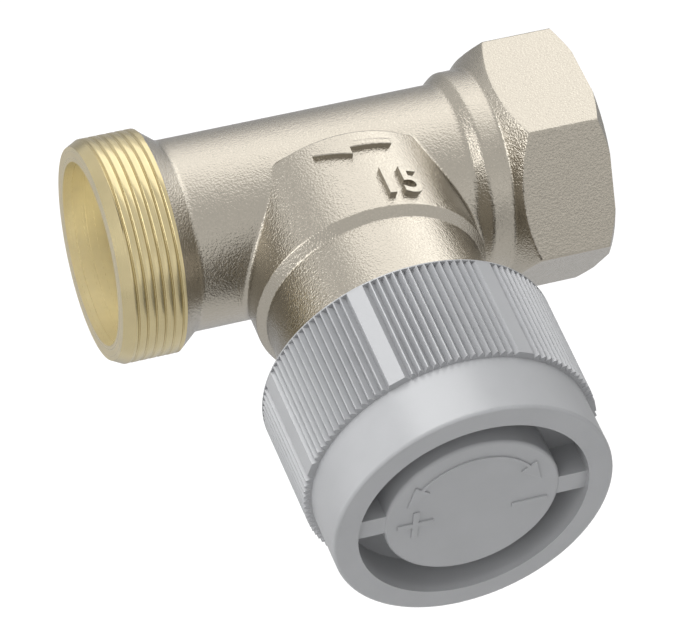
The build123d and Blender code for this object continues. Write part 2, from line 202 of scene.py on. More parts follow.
@contextmanager
def edit_mode(piece: bpy.types.Object, mode: SelectMode = SelectMode.VERTICES) -> Iterator[None]:
    """Hold a piece in edit mode, with nothing selected at the start.

    Args:
        piece: the piece to edit.
        mode: what selections are made of.

    Yields:
        Nothing, while the piece is in edit mode.
    """
    select_only(piece)
    bpy.ops.object.mode_set(mode="EDIT")
    bpy.ops.mesh.select_mode(type=mode.value)
    bpy.ops.mesh.select_all(action="DESELECT")
    yield
    bpy.ops.object.mode_set(mode="OBJECT")


def pick_edges(piece: bpy.types.Object, test: EdgeTest) -> None:
    """Select the edges that pass a test, in edit mode.

    Args:
        piece: the piece in edit mode.
        test: says whether an edge is wanted.
    """
    bpy.ops.mesh.select_all(action="DESELECT")
    shape = bmesh.from_edit_mesh(piece.data)
    for edge in shape.edges:
        if test(edge):
            edge.select_set(True)
    bmesh.update_edit_mesh(piece.data)


def pick_faces(piece: bpy.types.Object, test: FaceTest) -> None:
    """Select the faces that pass a test, in edit mode.

    Args:
        piece: the piece in edit mode.
        test: says whether a face is wanted.
    """
    bpy.ops.mesh.select_all(action="DESELECT")
    shape = bmesh.from_edit_mesh(piece.data)
    for face in shape.faces:
        if test(face):
            face.select_set(True)
    bmesh.update_edit_mesh(piece.data)


def apply_modifier(piece: bpy.types.Object, kind: str, **settings: object) -> None:
    """Add a modifier to a piece and apply it.

    Args:
        piece: the piece to change.
        kind: Blender's name for the modifier.
        settings: the modifier's own values.
    """
    modifier = piece.modifiers.new(kind.title(), kind)
    for key, value in settings.items():
        setattr(modifier, key, value)
    select_only(piece)
    bpy.ops.object.modifier_apply(modifier=modifier.name)


def shade(piece: bpy.types.Object) -> None:
    """Smooth a piece's round faces, and keep its flat faces and sharp edges.

    Args:
        piece: the piece to shade.
    """
    select_only(piece)
    bpy.ops.object.shade_smooth_by_angle(angle=SMOOTH_ANGLE)
    apply_modifier(piece, "WEIGHTED_NORMAL", keep_sharp=True)


def merged_copy(node: str, name: str) -> bpy.types.Object:
    """Copy a CAD node's mesh as a new piece, and merge its loose triangles.

    Args:
        node: the CAD node.
        name: the new piece's name.

    Returns:
        The copy, with no material.
    """
    piece = bpy.data.objects.new(name, frame["nodes"][node].data.copy())
    bpy.context.scene.collection.objects.link(piece)
    piece.data.name = name
    piece.data.materials.clear()
    select_only(piece)
    bpy.ops.mesh.customdata_custom_splitnormals_clear()
    with edit_mode(piece):
        bpy.ops.mesh.select_all(action="SELECT")
        bpy.ops.mesh.remove_doubles(threshold=MICRON)
        bpy.ops.mesh.mark_sharp(clear=True)
    return piece


def start_vertex(name: str, place: Vector) -> bpy.types.Object:
    """Start a piece as one vertex, made from a primitive plane.

    Args:
        name: the piece's name.
        place: where the vertex stands.

    Returns:
        The piece, with its object at the origin.
    """
    bpy.ops.object.select_all(action="DESELECT")
    bpy.ops.mesh.primitive_plane_add(size=MM, location=place)
    piece = bpy.context.object
    piece.name = name
    piece.data.name = name
    bpy.ops.object.transform_apply(location=True, rotation=True, scale=True)
    with edit_mode(piece):
        bpy.ops.mesh.select_all(action="SELECT")
        bpy.ops.mesh.merge(type="CENTER")
    return piece


def walk_outline(piece: bpy.types.Object, points: Sequence[Vector]) -> None:
    """Extrude a piece's single vertex from point to point.

    Args:
        piece: a piece of one vertex, standing at the first point.
        points: the points of the outline in order.
    """
    with edit_mode(piece):
        bpy.ops.mesh.select_all(action="SELECT")
        for here, there in zip(points, points[1:]):
            bpy.ops.mesh.extrude_region_move(TRANSFORM_OT_translate={"value": there - here})


def raised_plate(
    name: str, outline: Sequence[Point], low: float, high: float, edge: float
) -> bpy.types.Object:
    """Model a flat sign: an outline walked by one vertex, filled, raised and softened along its top.

    Args:
        name: the piece's name.
        outline: the sign's outline, counter-clockwise in the XY plane.
        low: Z of the sign's foot.
        high: Z of its top.
        edge: the rounding of the top edges.

    Returns:
        The closed sign.
    """
    points = [Vector((x, y, low)) for x, y in outline]
    piece = start_vertex(name, points[0])
    walk_outline(piece, points)
    with edit_mode(piece):
        bpy.ops.mesh.select_all(action="SELECT")
        bpy.ops.mesh.edge_face_add()
        bpy.ops.mesh.extrude_region_move(TRANSFORM_OT_translate={"value": (0, 0, high - low)})
        bpy.ops.mesh.bevel(offset=edge, segments=EDGE_SEGMENTS, affect="EDGES")
        bpy.ops.mesh.select_all(action="SELECT")
        bpy.ops.mesh.normals_make_consistent(inside=False)
    return piece


def arc_points(radius: float, start: float, end: float, count: int) -> list[Point]:
    """Points along an arc about the origin.

    Args:
        radius: the arc's radius.
        start: the first angle in degrees.
        end: the last angle in degrees.
        count: how many points.

    Returns:
        The points in order.
    """
    turns = [radians(start + (end - start) * step / (count - 1)) for step in range(count)]
    return [(radius * cos(turn), radius * sin(turn)) for turn in turns]


class NodeSheet:
    """A material's node tree, with its Principled shader at hand."""

    def __init__(self, name: str) -> None:
        """Start a material.

        Args:
            name: the material's name.
        """
        self.material = bpy.data.materials.new(name)
        self.material.use_nodes = True
        self.tree = self.material.node_tree
        self.shader = self.tree.nodes["Principled BSDF"]
        self.place = self.add("ShaderNodeTexCoord").outputs["Object"]

    def add(self, kind: str, **inputs: object) -> bpy.types.Node:
        """Add a node and set its sockets.

        Args:
            kind: Blender's name for the node.
            inputs: socket values by name, with spaces written as underscores.

        Returns:
            The node.
        """
        node = self.tree.nodes.new(kind)
        for key, value in inputs.items():
            node.inputs[key.replace("_", " ")].default_value = value
        return node

    def join(self, start: bpy.types.NodeSocket, end: bpy.types.NodeSocket) -> None:
        """Link two sockets."""
        self.tree.links.new(start, end)

    def noise(
        self, scale: float, detail: float, vector: bpy.types.NodeSocket | None = None
    ) -> bpy.types.NodeSocket:
        """A noise pattern.

        Args:
            scale: waves per metre.
            detail: how many finer layers it holds.
            vector: its coordinates, or the object's own when left out.

        Returns:
            The pattern's value.
        """
        node = self.add("ShaderNodeTexNoise", Scale=scale, Detail=detail, Roughness=NOISE_ROUGHNESS)
        self.join(vector or self.place, node.inputs["Vector"])
        return node.outputs["Fac"]

    def spread(self, value: bpy.types.NodeSocket, low: float, high: float) -> bpy.types.NodeSocket:
        """Spread a noise value over a range.

        Args:
            value: a value that stays mostly between NOISE_LOW and NOISE_HIGH.
            low: what NOISE_LOW becomes.
            high: what NOISE_HIGH becomes.

        Returns:
            The new value.
        """
        node = self.add(
            "ShaderNodeMapRange", From_Min=NOISE_LOW, From_Max=NOISE_HIGH, To_Min=low, To_Max=high
        )
        self.join(value, node.inputs["Value"])
        return node.outputs["Result"]

    def mottle(self, value: bpy.types.NodeSocket, colour: Colour, shades: Pair) -> None:
        """Let a noise value choose the base colour between two shades of a colour.

        Args:
            value: the noise value.
            colour: the colour.
            shades: the darker and the lighter shade, as shares of the colour.
        """
        level = self.spread(value, 0.0, 1.0)
        node = self.tree.nodes.new("ShaderNodeMix")
        node.data_type = "RGBA"
        sockets = {socket.identifier: socket for socket in (*node.inputs, *node.outputs)}
        for name, share in zip(("A_Color", "B_Color"), shades):
            sockets[name].default_value = (*(channel * share for channel in colour), 1)
        self.join(level, sockets["Factor_Float"])
        self.join(sockets["Result_Color"], self.shader.inputs["Base Color"])

    def roughen(self, value: bpy.types.NodeSocket, low: float, high: float) -> None:
        """Let a noise value choose the roughness between two bounds."""
        self.join(self.spread(value, low, high), self.shader.inputs["Roughness"])

    def bump(self, height: bpy.types.NodeSocket, distance: float, strength: float) -> None:
        """Raise the surface by a height pattern, over any bump that is there already.

        Args:
            height: the pattern.
            distance: how far it rises, in metres.
            strength: how much of it is used.
        """
        node = self.add("ShaderNodeBump", Distance=distance, Strength=strength)
        self.join(height, node.inputs["Height"])
        normal = self.shader.inputs["Normal"]
        if normal.is_linked:
            self.join(normal.links[0].from_socket, node.inputs["Normal"])
        self.join(node.outputs["Normal"], normal)


@dataclass(frozen=True)
class CastPlating:
    """Nickel plating over the fine grain of a casting."""

    name: str = "nickel_casting"
    colour: Colour = (0.383, 0.353, 0.300)
    shades: Pair = (0.96, 1.03)
    roughness: Pair = (0.07, 0.13)
    grain: float = 4000.0
    grain_height: float = 0.10 * MM
    grain_strength: float = 0.8
    patch: float = 700.0
    patch_height: float = 0.05 * MM
    patch_strength: float = 0.4

    def make(self) -> bpy.types.Material:
        """Build the material.

        Returns:
            The material.
        """
        sheet = NodeSheet(self.name)
        sheet.shader.inputs["Metallic"].default_value = 1.0
        grain = sheet.noise(self.grain, detail=2.0)
        patch = sheet.noise(self.patch, detail=3.0)
        sheet.mottle(grain, self.colour, self.shades)
        sheet.roughen(patch, *self.roughness)
        sheet.bump(patch, self.patch_height, self.patch_strength)
        sheet.bump(grain, self.grain_height, self.grain_strength)
        return sheet.material


@dataclass(frozen=True)
class TurnedMetal:
    """Bare metal off the lathe, with fine rings round its turning axis."""

    name: str
    colour: Colour
    axis: TurningAxis
    neck_x: float
    roughness: float = 0.3
    metallic: float = 1.0
    play: Pair = (-0.05, 0.07)
    shades: Pair = (0.93, 1.04)
    cloud: float = 260.0
    rings: float = 5000.0
    ring_height: float = 0.006 * MM
    ring_strength: float = 0.8

    def make(self) -> bpy.types.Material:
        """Build the material.

        Returns:
            The material.
        """
        sheet = NodeSheet(self.name)
        sheet.shader.inputs["Metallic"].default_value = self.metallic
        rings = sheet.noise(self.rings, detail=2.0, vector=self.ring_coordinates(sheet))
        cloud = sheet.noise(self.cloud, detail=3.0)
        sheet.mottle(cloud, self.colour, self.shades)
        sheet.roughen(rings, *(self.roughness + step for step in self.play))
        sheet.bump(rings, self.ring_height, self.ring_strength)
        return sheet.material

    def ring_coordinates(self, sheet: NodeSheet) -> bpy.types.NodeSocket:
        """Coordinates that change along the turning axis and with the distance from it.

        Args:
            sheet: the material's nodes.

        Returns:
            A vector of axial place and radius.
        """
        split = sheet.add("ShaderNodeSeparateXYZ")
        mapping = sheet.add("ShaderNodeMapping", Location=(-self.neck_x, 0, 0))
        sheet.join(sheet.place, mapping.inputs["Vector"])
        sheet.join(mapping.outputs["Vector"], split.inputs["Vector"])
        along, across = ("Y", "X") if self.axis is TurningAxis.NECK else ("X", "Y")
        flat = sheet.add("ShaderNodeCombineXYZ")
        sheet.join(split.outputs[across], flat.inputs["X"])
        sheet.join(split.outputs["Z"], flat.inputs["Z"])
        length = sheet.add("ShaderNodeVectorMath")
        length.operation = "LENGTH"
        sheet.join(flat.outputs["Vector"], length.inputs[0])
        pair = sheet.add("ShaderNodeCombineXYZ")
        sheet.join(split.outputs[along], pair.inputs["X"])
        sheet.join(length.outputs["Value"], pair.inputs["Y"])
        return pair.outputs["Vector"]


@dataclass(frozen=True)
class MouldedPlastic:
    """Satin moulded plastic with a fine spark-eroded skin."""

    name: str
    colour: Colour
    roughness: Pair = (0.32, 0.41)
    gloss: float = 0.5
    shades: Pair = (0.96, 1.03)
    cloud: float = 150.0
    skin: float = 4200.0
    skin_height: float = 0.012 * MM
    skin_strength: float = 0.5

    def make(self) -> bpy.types.Material:
        """Build the material.

        Returns:
            The material.
        """
        sheet = NodeSheet(self.name)
        sheet.shader.inputs["Specular IOR Level"].default_value = self.gloss
        skin = sheet.noise(self.skin, detail=2.0)
        cloud = sheet.noise(self.cloud, detail=3.0)
        sheet.mottle(cloud, self.colour, self.shades)
        sheet.roughen(cloud, *self.roughness)
        sheet.bump(skin, self.skin_height, self.skin_strength)
        return sheet.material


@dataclass(frozen=True)
class SealRubber:
    """Matt black rubber with a faint bloom."""

    name: str = "seal_rubber"
    colour: Colour = (0.025, 0.025, 0.027)
    shades: Pair = (1.0, 1.7)
    roughness: Pair = (0.55, 0.75)
    bloom: float = 600.0
    bloom_height: float = 0.02 * MM
    bloom_strength: float = 0.3

    def make(self) -> bpy.types.Material:
        """Build the material.

        Returns:
            The material.
        """
        sheet = NodeSheet(self.name)
        bloom = sheet.noise(self.bloom, detail=4.0)
        sheet.mottle(bloom, self.colour, self.shades)
        sheet.roughen(bloom, *self.roughness)
        sheet.bump(bloom, self.bloom_height, self.bloom_strength)
        return sheet.material


@dataclass(frozen=True)
class ThreadSleeve:
    """A closed ring with a right-handed thread on one side, set into a channel of the body.

    Args:
        name: the piece's name.
        start: X of its first end.
        end: X of its last end.
        crest_r: radius of the thread's crest.
        root_r: radius of the thread's root.
        seat_r: radius of the channel's floor.
        pitch: rise in one turn.
        crest: width of the flat crest, with a round groove in the rest of the pitch.
        steps: facets in one turn.
        facets: facets across the groove.
        lead_turns: turns screwed before the first end, which is then trimmed.
        spare_turns: turns screwed over the sleeve's own length.
    """

    name: str
    start: float
    end: float
    crest_r: float
    root_r: float
    seat_r: float
    pitch: float
    crest: float
    steps: int = 120
    facets: int = 10
    lead_turns: int = 2
    spare_turns: int = 4

    def build(self) -> bpy.types.Object:
        """Screw one pitch of the thread's section along the flow line, trim it and close it.

        Returns:
            The closed sleeve.
        """
        first = self.start - self.lead_turns * self.pitch - self.crest
        section = [Vector((first, 0, self.crest_r))]
        for step in range(self.facets + 1):
            share = step / self.facets
            along = first + self.crest + (self.pitch - self.crest) * share
            sink = (1 - cos(2 * pi * share)) / 2
            section.append(Vector((along, 0, self.crest_r + (self.root_r - self.crest_r) * sink)))
        piece = start_vertex(self.name, section[0])
        walk_outline(piece, section)
        turns = int((self.end - self.start) / self.pitch) + self.spare_turns
        apply_modifier(
            piece,
            "SCREW",
            axis="X",
            angle=2 * pi,
            screw_offset=self.pitch,
            iterations=turns,
            steps=self.steps,
            render_steps=self.steps,
        )
        with edit_mode(piece, SelectMode.EDGES):
            bpy.ops.mesh.select_all(action="SELECT")
            bpy.ops.mesh.remove_doubles(threshold=MICRON)
            for place, keep in ((self.start, 1), (self.end, -1)):
                bpy.ops.mesh.select_all(action="SELECT")
                bpy.ops.mesh.bisect(plane_co=(place, 0, 0), plane_no=(keep, 0, 0), clear_inner=True)
            pick_edges(piece, lambda edge: edge.is_boundary)
            close_channel(self.seat_r / self.crest_r)
            bpy.ops.mesh.select_all(action="SELECT")
            bpy.ops.mesh.normals_make_consistent(inside=False)
        return piece

    def seat_in(self, body: bpy.types.Object) -> None:
        """Cut the sleeve's channel into the body.

        Args:
            body: the body's merged copy.
        """
        with edit_mode(body, SelectMode.EDGES):
            pick_faces(body, self.covers)
            bpy.ops.mesh.delete(type="FACE")
            pick_edges(body, lambda edge: edge.is_boundary)
            close_channel(self.seat_r / self.crest_r)
            bpy.ops.mesh.select_all(action="SELECT")
            bpy.ops.mesh.normals_make_consistent(inside=False)

    def covers(self, face: bmesh.types.BMFace) -> bool:
        """Whether a face of the body lies on the plain cylinder that the thread takes the place of.

        Args:
            face: a face of the body's merged copy.

        Returns:
            Whether the thread covers it.
        """
        reach = [vertex.co.x for vertex in face.verts]
        radii = [hypot(vertex.co.y, vertex.co.z) for vertex in face.verts]
        inside = min(reach) > self.start - ON_SURFACE and max(reach) < self.end + ON_SURFACE
        return inside and all(abs(radius - self.crest_r) < ON_SURFACE for radius in radii)


def close_channel(share: float) -> None:
    """Extrude the two selected rims about the flow line to a new radius, and bridge them.

    Args:
        share: the new radius over the old one.
    """
    bpy.ops.mesh.extrude_edges_move()
    bpy.ops.transform.resize(value=(1, share, share), center_override=(0, 0, 0))
    bpy.ops.mesh.bridge_edge_loops()


@dataclass
class BodyCasting:
    """The cast body with its two turned threads and the marks on its boss."""

    layout: Layout
    outlet_thread_length: float = 7.5 * MM
    outlet_chamfer_length: float = 1.3 * MM
    outlet_pitch: float = 1.06 * MM
    outlet_groove: float = 0.18 * MM
    outlet_crest: float = 0.62 * MM
    inlet_thread_length: float = 14.0 * MM
    inlet_lead_in: float = 0.4 * MM
    inlet_pitch: float = 1.814 * MM
    inlet_groove: float = 1.0 * MM
    inlet_crest: float = 0.3 * MM
    seat_depth: float = 0.35 * MM
    way_r: float = 11.2 * MM
    boss_r: float = 14.0 * MM
    mark_height: float = 0.6 * MM
    mark_foot: float = -0.1 * MM
    mark_edge: float = 0.1 * MM
    slice_width: float = 0.45 * MM

    def build(self) -> list[bpy.types.Object]:
        """Build and dress every piece of the body.

        Returns:
            The pieces.
        """
        cast = CastPlating().make()
        turned = self.bare_brass("turned_brass", (0.53, 0.45, 0.26), roughness=0.23)
        # The next two brasses are lighter copies of the turned brass: painted light inside the bores
        # and on the outlet's end face.
        bore_lightened = self.bare_brass("bore_brass_painted_light", (0.85, 0.775, 0.545), metallic=0.8)
        face_lightened = self.bare_brass("end_face_brass_painted_light", (0.85, 0.74, 0.49))
        body = merged_copy("valve_body", "body_casting")
        sleeves = [self.outlet_sleeve(), self.inlet_sleeve()]
        threads = []
        for sleeve in sleeves:
            sleeve.seat_in(body)
            threads.append(sleeve.build())
        for finish in (cast, turned, bore_lightened, face_lightened):
            body.data.materials.append(finish)
        for face in body.data.polygons:
            face.material_index = self.skin_at(face).value
        marks = [self.flow_arrow(), self.size_mark()]
        for mark in marks:
            self.wrap_on_boss(mark)
            mark.data.materials.append(cast)
        for thread in threads:
            thread.data.materials.append(turned)
        pieces = [body, *threads, *marks]
        for piece in pieces:
            shade(piece)
            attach(piece, "valve")
        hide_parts("valve_body")
        return pieces

    def bare_brass(self, name: str, colour: Colour, **finish: float) -> bpy.types.Material:
        """Brass turned about the flow line, with the given values of its finish."""
        return TurnedMetal(name, colour, TurningAxis.FLOW, self.layout.neck_x, **finish).make()

    def outlet_sleeve(self) -> ThreadSleeve:
        """Describe the outside thread of the outlet.

        Returns:
            The thread's sleeve.
        """
        crest_r = self.layout.outlet_thread_r
        root_r = crest_r - self.outlet_groove
        return ThreadSleeve(
            name="outlet_thread",
            start=self.layout.outlet_x + self.outlet_chamfer_length,
            end=self.layout.outlet_x + self.outlet_thread_length,
            crest_r=crest_r,
            root_r=root_r,
            seat_r=root_r - self.seat_depth,
            pitch=self.outlet_pitch,
            crest=self.outlet_crest,
        )

    def inlet_sleeve(self) -> ThreadSleeve:
        """Describe the inside thread of the inlet.

        Returns:
            The thread's sleeve.
        """
        crest_r = self.layout.inlet_thread_r
        root_r = crest_r + self.inlet_groove
        return ThreadSleeve(
            name="inlet_thread",
            start=-self.inlet_thread_length,
            end=-self.inlet_lead_in,
            crest_r=crest_r,
            root_r=root_r,
            seat_r=root_r + self.seat_depth,
            pitch=self.inlet_pitch,
            crest=self.inlet_crest,
        )

    def skin_at(self, face: bpy.types.MeshPolygon) -> BodySkin:
        """Choose a face's finish by where it lies.

        The outlet's end face and the ways inside get lighter copies of the turned brass, painted light;
        the outlet's outside and the inlet's mouth are turned, and the rest is cast.

        Args:
            face: a face of the body.

        Returns:
            The finish.
        """
        from_flow = hypot(face.center.y, face.center.z)
        from_neck = hypot(face.center.x - self.layout.neck_x, face.center.z)
        at_outlet = face.center.x < self.layout.outlet_x + self.outlet_thread_length
        at_mouth = face.center.x > -MICRON
        in_neck = from_neck < self.way_r and from_flow > self.way_r and face.center.y < 0
        in_run = from_flow < self.layout.outlet_socket_r + MICRON
        # Painted light: the end face and the inner ways take the lighter copies of the brass.
        if face.center.x < self.layout.outlet_x + MICRON:
            return BodySkin.FACED
        if in_neck or in_run:
            return BodySkin.BORED
        return BodySkin.TURNED if at_outlet or at_mouth else BodySkin.CAST

    def flow_arrow(self) -> bpy.types.Object:
        """Model the raised arrow that shows the way of the flow, drawn flat.

        Returns:
            The arrow as a mesh.
        """
        tip = -4.6 * MM
        tail = 4.7 * MM
        head = 4.3 * MM
        half_head = 1.5 * MM
        half_shaft = 0.45 * MM
        line = -4.7 * MM
        outline = [
            (tip, line),
            (tip + head, line - half_head),
            (tip + head, line - half_shaft),
            (tail, line - half_shaft),
            (tail, line + half_shaft),
            (tip + head, line + half_shaft),
            (tip + head, line + half_head),
        ]
        return raised_plate("flow_arrow", outline, self.mark_foot, self.mark_height, self.mark_edge)

    def size_mark(self) -> bpy.types.Object:
        """Model the raised number of the nominal size, drawn flat.

        Returns:
            The number as a mesh.
        """
        height = 4.1 * MM
        middle = 3.5 * MM
        baseline = -13.0 * MM
        cap_share = 0.729
        edge = 0.05 * MM
        thickening = 0.08 * MM
        curve_steps = 6
        bpy.ops.object.select_all(action="DESELECT")
        bpy.ops.object.text_add(location=(middle, baseline, 0))
        piece = bpy.context.object
        piece.name = "size_mark"
        piece.data.body = "15"
        piece.data.align_x = "CENTER"
        piece.data.size = height / cap_share
        piece.data.extrude = (self.mark_height - self.mark_foot) / 2
        piece.data.bevel_depth = edge
        piece.data.offset = thickening
        piece.data.resolution_u = curve_steps
        bpy.ops.object.convert(target="MESH")
        bpy.ops.object.transform_apply(location=True, rotation=True, scale=True)
        with edit_mode(piece):
            bpy.ops.mesh.select_all(action="SELECT")
            bpy.ops.mesh.remove_doubles(threshold=MICRON)
            bpy.ops.transform.translate(value=(0, 0, (self.mark_height + self.mark_foot) / 2))
            bpy.ops.mesh.normals_make_consistent(inside=False)
        return piece

    def wrap_on_boss(self, mark: bpy.types.Object) -> None:
        """Slice a flat mark into narrow strips and lay it round the boss.

        Args:
            mark: a mark drawn flat, with X across the boss, Y along the neck and Z its height.
        """
        across = [vertex.co.x for vertex in mark.data.vertices]
        cuts = int((max(across) - min(across)) / self.slice_width)
        with edit_mode(mark):
            for cut in range(1, cuts + 1):
                bpy.ops.mesh.select_all(action="SELECT")
                place = (min(across) + cut * self.slice_width, 0, 0)
                bpy.ops.mesh.bisect(plane_co=place, plane_no=(1, 0, 0))
        for vertex in mark.data.vertices:
            turn = vertex.co.x / self.boss_r
            radius = self.boss_r + vertex.co.z
            vertex.co = (self.layout.neck_x + radius * sin(turn), vertex.co.y, radius * cos(turn))


@dataclass
class CapMoulding:
    """The moulded cap and the signs on its disc."""

    layout: Layout
    colour: Colour = (0.36, 0.365, 0.375)
    sign_height: float = 0.2 * MM
    sign_foot: float = -0.1 * MM
    sign_edge: float = 0.06 * MM
    stroke: float = 0.7 * MM

    def build(self) -> list[bpy.types.Object]:
        """Dress the cap and build its signs.

        Returns:
            The signs.
        """
        plastic = MouldedPlastic("grey_plastic", self.colour).make()
        cap = frame["nodes"]["protective_cap"]
        cap.data.materials[0] = plastic
        signs = [self.plus_sign(), self.minus_sign(), self.turning_arrow()]
        for sign in signs:
            sign.data.transform(self.onto_disc())
            sign.data.materials.append(plastic)
            shade(sign)
            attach(sign, "cap")
        return signs

    def onto_disc(self) -> Matrix:
        """The placing of a flat sign: X stays across, Y turns up, and Z turns out of the disc."""
        turn = Matrix.Rotation(pi / 2, 4, "X")
        return Matrix.Translation((self.layout.neck_x, self.layout.disc_face_y, 0)) @ turn

    def plate(self, name: str, outline: Sequence[Point]) -> bpy.types.Object:
        """Raise one sign of the disc from its outline."""
        return raised_plate(name, outline, self.sign_foot, self.sign_height, self.sign_edge)

    def plus_sign(self) -> bpy.types.Object:
        """Model the sign for opening.

        Returns:
            The flat sign.
        """
        x, y = -6.7 * MM, -0.95 * MM
        reach = 2.1 * MM
        half = self.stroke / 2
        quarter = [(reach, -half), (reach, half), (half, half)]
        outline = []
        for turn in range(4):
            c, s = round(cos(turn * pi / 2)), round(sin(turn * pi / 2))
            outline += [(x + c * px - s * py, y + s * px + c * py) for px, py in quarter]
        return self.plate("plus_sign", outline)

    def minus_sign(self) -> bpy.types.Object:
        """Model the sign for closing.

        Returns:
            The flat sign.
        """
        left, right = 4.72 * MM, 8.87 * MM
        y = -1.35 * MM
        half = self.stroke / 2
        outline = [(left, y - half), (right, y - half), (right, y + half), (left, y + half)]
        return self.plate("minus_sign", outline)

    def turning_arrow(self) -> bpy.types.Object:
        """Model the arc with a head at each end.

        Returns:
            The flat sign.
        """
        radius, tip_radius = 7.85 * MM, 8.2 * MM
        half = 0.2 * MM
        head_half = 1.08 * MM
        base_turn, tip_turn = 37.5, 16.0
        count = 25
        outline = [
            self.polar(tip_radius, tip_turn),
            self.polar(radius + head_half, base_turn),
            *arc_points(radius + half, base_turn, 180 - base_turn, count),
            self.polar(radius + head_half, 180 - base_turn),
            self.polar(tip_radius, 180 - tip_turn),
            self.polar(radius - head_half, 180 - base_turn),
            *arc_points(radius - half, 180 - base_turn, base_turn, count),
            self.polar(radius - head_half, base_turn),
        ]
        return self.plate("turning_arrow", outline)

    @staticmethod
    def polar(radius: float, turn: float) -> Point:
        """A point at a radius and an angle in degrees."""
        return (radius * cos(radians(turn)), radius * sin(radians(turn)))


@dataclass
class ValveInsert:
    """The insert inside the neck: metal, rubber and plastic pieces, and its return spring."""

    layout: Layout
    spring_floor_y: float = -20.5 * MM
    lift: float = 3.0 * MM
    nodes: dict[str, tuple[str, ...]] = field(
        default_factory=lambda: {
            "brass": ("bonnet", "gland_screw", "disc_holder", "disc_washer", "disc_nut"),
            "steel": ("pressure_pin", "stem", "stem_clip", "spring_plate"),
            "rubber": (
                "bonnet_o_ring",
                "gland_o_ring",
                "pin_o_ring_inner",
                "pin_o_ring_outer",
                "disc_seal",
            ),
            "plastic": ("guide_bush", "wiper_ring"),
        }
    )

    def build(self) -> list[bpy.types.Object]:
        """Dress the insert's pieces and build its spring.

        Returns:
            The spring, the one new piece.
        """
        neck_x = self.layout.neck_x
        steel = TurnedMetal("ground_steel", (0.58, 0.58, 0.58), TurningAxis.NECK, neck_x).make()
        finishes = {
            "brass": TurnedMetal("insert_brass", (0.74, 0.58, 0.27), TurningAxis.NECK, neck_x).make(),
            "steel": steel,
            "rubber": SealRubber().make(),
            "plastic": MouldedPlastic("bearing_plastic", (0.72, 0.71, 0.67)).make(),
        }
        for finish, names in self.nodes.items():
            for name in names:
                frame["nodes"][name].data.materials[0] = finishes[finish]
        spring = merged_copy("return_spring", "spring_coil")
        spring.data.materials.append(steel)
        shade(spring)
        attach(spring, "valve")
        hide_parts("return_spring")
        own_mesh(spring)
        return [spring]


def facing(place: Place) -> Turn:
    """The turn that points a lamp or card at the middle of the object."""
    middle = (CAD_BOX[0] + CAD_BOX[1]) / 2
    return tuple((middle - Vector(place)).to_track_quat("-Z", "Y").to_euler())


@dataclass(frozen=True)
class SoftLamp:
    """A flat lamp that faces the object.

    Args:
        name: the lamp's name.
        role: what it is for.
        place: where it hangs.
        size: its width and height.
        power: its power in watts.
        only: the names of the pieces that it lights, or none for all things.
    """

    name: str
    role: LampRole
    place: Place
    size: Pair
    power: float
    only: tuple[str, ...] = ()

    def build(self) -> None:
        """Hang the lamp."""
        bpy.ops.object.select_all(action="DESELECT")
        bpy.ops.object.light_add(type="AREA", location=self.place, rotation=facing(self.place))
        lamp = bpy.context.object
        lamp.name = self.name
        lamp.data.shape = "RECTANGLE"
        lamp.data.size, lamp.data.size_y = self.size
        lamp.data.energy = self.power
        lamp.visible_glossy = self.role is LampRole.HIGHLIGHT
        lamp.visible_diffuse = self.role is LampRole.FILL
        if self.only:
            lit = bpy.data.collections.new(self.name)
            for piece in self.only:
                lit.objects.link(bpy.data.objects[piece])
            lamp.light_linking.receiver_collection = lit


@dataclass(frozen=True)
class ToneCard:
    """A grey card that only shows in polished surfaces, to give them tone.

    Args:
        name: the card's name.
        place: where it stands.
        size: the length of its side.
        near_level: how light it is towards the front, with 1 for white.
        far_level: how light it is towards the back.
        fade: the stretch of Y over which one level turns into the other.
    """

    name: str
    place: Place
    size: float
    near_level: float
    far_level: float
    fade: Pair = (0.0, 0.12)

    def build(self) -> None:
        """Stand the card, facing the object."""
        bpy.ops.object.select_all(action="DESELECT")
        turn = facing(self.place)
        bpy.ops.mesh.primitive_plane_add(size=self.size, location=self.place, rotation=turn)
        card = bpy.context.object
        card.name = self.name
        sheet = NodeSheet(self.name)
        sheet.shader.inputs["Base Color"].default_value = BLACK
        sheet.shader.inputs["Specular IOR Level"].default_value = 0.0
        sheet.shader.inputs["Emission Color"].default_value = WHITE
        split = sheet.add("ShaderNodeSeparateXYZ")
        sheet.join(sheet.add("ShaderNodeNewGeometry").outputs["Position"], split.inputs["Vector"])
        start, end = self.fade
        level = sheet.add(
            "ShaderNodeMapRange",
            From_Min=start,
            From_Max=end,
            To_Min=self.near_level,
            To_Max=self.far_level,
        )
        sheet.join(split.outputs["Y"], level.inputs["Value"])
        sheet.join(level.outputs["Result"], sheet.shader.inputs["Emission Strength"])
        card.data.materials.append(sheet.material)
        card.visible_camera = False
        card.visible_diffuse = False
        card.visible_shadow = False
        card.visible_transmission = False


